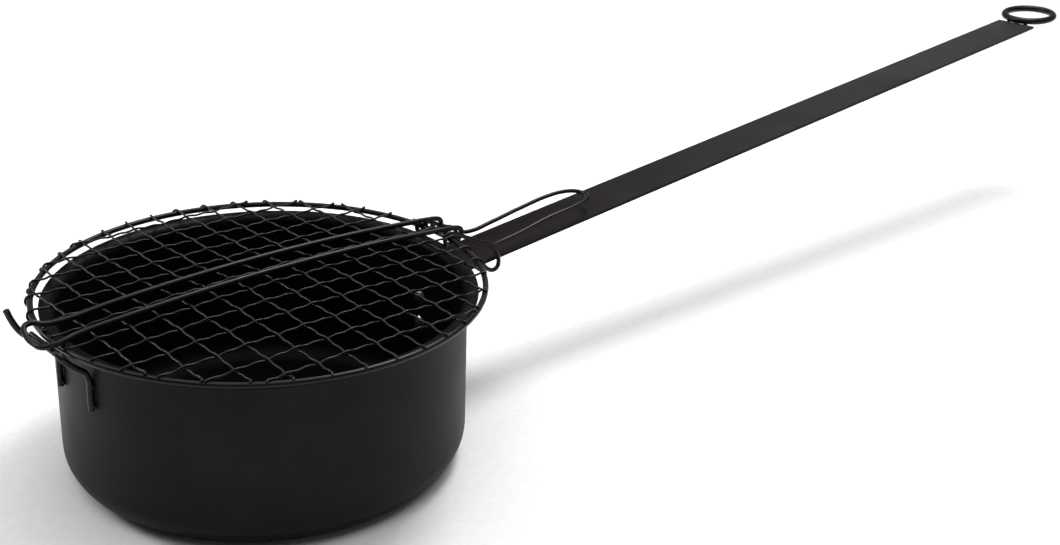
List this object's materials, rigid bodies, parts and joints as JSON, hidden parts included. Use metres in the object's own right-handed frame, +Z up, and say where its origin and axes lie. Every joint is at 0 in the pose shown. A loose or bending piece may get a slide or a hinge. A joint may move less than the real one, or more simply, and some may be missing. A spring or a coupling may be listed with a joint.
{
  "type": "grill basket",
  "caption": "Deep round camp-fire pan with a turned-out lip, a hinged lid of woven wire mesh, a wire latch and a long flat handle ending in a hanging ring.",
  "frame": {"origin": "centre of the pan's flat base, on the surface it stands on", "axes": "+Z up out of the pan, +X along the handle towards the hanging ring, +Y to the handle's left"},
  "size_m": [0.8616, 0.2216, 0.1344],
  "materials": {
    "pan_black": "satin black heat-proof coat",
    "handle_black": "satin black",
    "wire_black": "satin black",
    "mesh_wire": "satin black",
    "rivet_steel": "bright"
  },
  "bodies": {
    "pan": {"bowl_base": "pan_black", "bowl_wall": "pan_black", "handle_strip": "handle_black", "handle_rivets": "rivet_steel", "hanging_ring": "wire_black", "ring_welds": "wire_black", "hinge_pin_leg": "wire_black", "hinge_horn_leg": "wire_black", "hinge_welds": "wire_black"},
    "lid": {"lid_ring": "wire_black", "lid_bars": "wire_black", "bar_welds": "wire_black", "mesh_weft_1": "mesh_wire", "mesh_weft_2": "mesh_wire", "mesh_weft_3": "mesh_wire", "mesh_weft_4": "mesh_wire", "mesh_weft_5": "mesh_wire", "mesh_weft_6": "mesh_wire", "mesh_weft_7": "mesh_wire", "mesh_weft_8": "mesh_wire", "mesh_weft_9": "mesh_wire", "mesh_weft_10": "mesh_wire", "mesh_weft_11": "mesh_wire", "mesh_weft_12": "mesh_wire", "mesh_weft_13": "mesh_wire", "mesh_warp_1": "mesh_wire", "mesh_warp_2": "mesh_wire", "mesh_warp_3": "mesh_wire", "mesh_warp_4": "mesh_wire", "mesh_warp_5": "mesh_wire", "mesh_warp_6": "mesh_wire", "mesh_warp_7": "mesh_wire", "mesh_warp_8": "mesh_wire", "mesh_warp_9": "mesh_wire", "mesh_warp_10": "mesh_wire", "mesh_warp_11": "mesh_wire", "mesh_warp_12": "mesh_wire", "mesh_warp_13": "mesh_wire"},
    "latch": {"latch_lever": "wire_black", "latch_hooks": "wire_black"}
  },
  "joints": [
    {"name": "lid_hinge", "type": "hinge", "parent": "pan", "child": "lid", "pos_m": [-0.1132, 0, 0.0902], "axis": [0, -1, 0], "range_deg": [0, 100]},
    {"name": "latch_swing", "type": "hinge", "parent": "lid", "child": "latch", "pos_m": [0.10855, 0, 0.0903], "axis": [0, -1, 0], "range_deg": [0, 100]}
  ]
}
